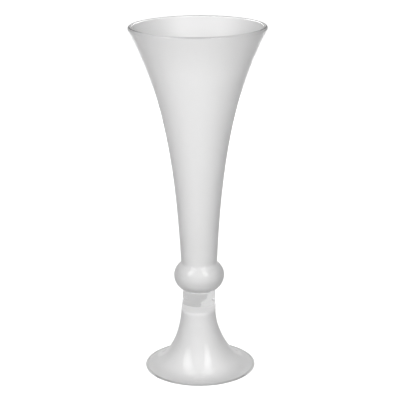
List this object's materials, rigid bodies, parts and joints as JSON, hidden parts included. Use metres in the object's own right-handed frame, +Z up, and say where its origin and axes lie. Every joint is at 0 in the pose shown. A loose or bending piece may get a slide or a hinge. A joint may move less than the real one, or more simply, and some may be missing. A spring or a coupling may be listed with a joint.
{
  "type": "trumpet vase",
  "caption": "Tall trumpet vase of clear glass lined with pearl white lacquer: flared bowl, hollow ball knop, short solid stem and bell foot.",
  "frame": {"origin": "centre of the flat ring that the foot stands on", "axes": "+Z up along the vase's axis, from the foot to the mouth; X and Y are free, because the vase is round"},
  "size_m": [0.1558, 0.1558, 0.406],
  "materials": {
    "clear_glass": "fire-polished clear glass",
    "pearl_lacquer": "pearl white lacquer"
  },
  "bodies": {
    "root": {"foot": "clear_glass", "foot_lacquer": "pearl_lacquer", "stem": "clear_glass", "knop": "clear_glass", "trumpet_bowl": "clear_glass", "bowl_lacquer": "pearl_lacquer"}
  },
  "joints": []
}
